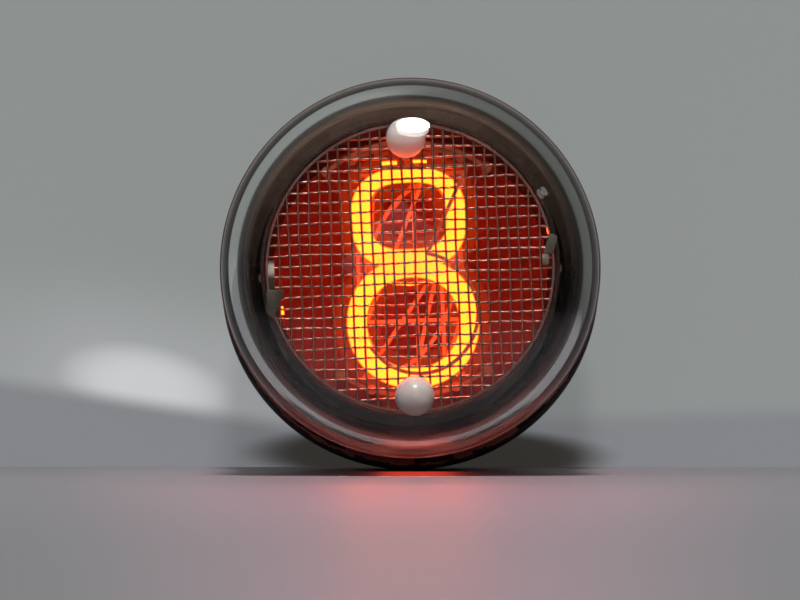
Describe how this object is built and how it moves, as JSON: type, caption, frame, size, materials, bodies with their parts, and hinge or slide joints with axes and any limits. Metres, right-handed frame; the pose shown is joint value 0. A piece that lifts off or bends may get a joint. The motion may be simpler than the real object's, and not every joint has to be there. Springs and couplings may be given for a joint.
{
  "type": "end-view nixie tube",
  "caption": "End-view numeric glow tube: stacked sheet numerals behind a wire mesh in a lacquered glass bulb, cemented into a keyed plug-in base with pins.",
  "frame": {"origin": "on the tube's axis at the pin tips, where it stands", "axes": "+Z along the axis towards the dome, +Y the way up of the numerals, on the side of the key"},
  "size_m": [0.033, 0.033, 0.065],
  "materials": {
    "clear_glass": "clear blown glass, slightly green-grey at the edge",
    "filter_lacquer": "brushed red-brown filter lacquer, translucent, chipped at the base",
    "black_moulding": "black phenolic moulding, satin",
    "cement": "buff basing cement",
    "stem_glass": "pressed glass with fillets round the wires",
    "pin_metal": "nickelled brass, soldered at the tip",
    "lead_wire": "drawn nickel wire",
    "numeral_sheet": "etched sheet, dull, lit orange by the glow",
    "glowing_numeral": "etched sheet under an orange-yellow neon glow",
    "mesh_wire": "fine bright wire, slightly oxidised",
    "bright_sheet": "bright folded nickel sheet",
    "can_sheet": "darkened sheet",
    "white_ceramic": "unglazed white ceramic",
    "milk_glass": "milky white glass bead",
    "getter_metal": "fired getter channel, dark"
  },
  "bodies": {
    "root": {"glass_bulb": "clear_glass", "filter_lacquer": "filter_lacquer", "base_shell": "black_moulding", "base_cement": "cement", "glass_stem": "stem_glass", "pin_1": "pin_metal", "pin_2": "pin_metal", "pin_3": "pin_metal", "pin_4": "pin_metal", "pin_5": "pin_metal", "pin_6": "pin_metal", "pin_7": "pin_metal", "pin_8": "pin_metal", "pin_9": "pin_metal", "pin_10": "pin_metal", "pin_11": "pin_metal", "lead_0": "lead_wire", "lead_1": "lead_wire", "lead_2": "lead_wire", "lead_3": "lead_wire", "lead_4": "lead_wire", "lead_5": "lead_wire", "lead_6": "lead_wire", "lead_7": "lead_wire", "lead_8": "lead_wire", "lead_9": "lead_wire", "lead_anode": "lead_wire", "numeral_0": "numeral_sheet", "numeral_1": "numeral_sheet", "numeral_2": "numeral_sheet", "numeral_3": "numeral_sheet", "numeral_4": "numeral_sheet", "numeral_5": "numeral_sheet", "numeral_6": "numeral_sheet", "numeral_7": "numeral_sheet", "numeral_8": "glowing_numeral", "numeral_9": "numeral_sheet", "anode_mesh": "mesh_wire", "mesh_rim": "bright_sheet", "anode_can": "can_sheet", "strap_left": "bright_sheet", "strap_right": "bright_sheet", "back_plate": "white_ceramic", "rod_upper": "lead_wire", "rod_lower": "lead_wire", "bead_upper": "milk_glass", "bead_lower": "milk_glass", "spacers_upper": "white_ceramic", "spacers_lower": "white_ceramic", "support_left": "lead_wire", "support_right": "lead_wire", "getter_ring": "getter_metal", "getter_holder": "lead_wire"}
  },
  "joints": []
}
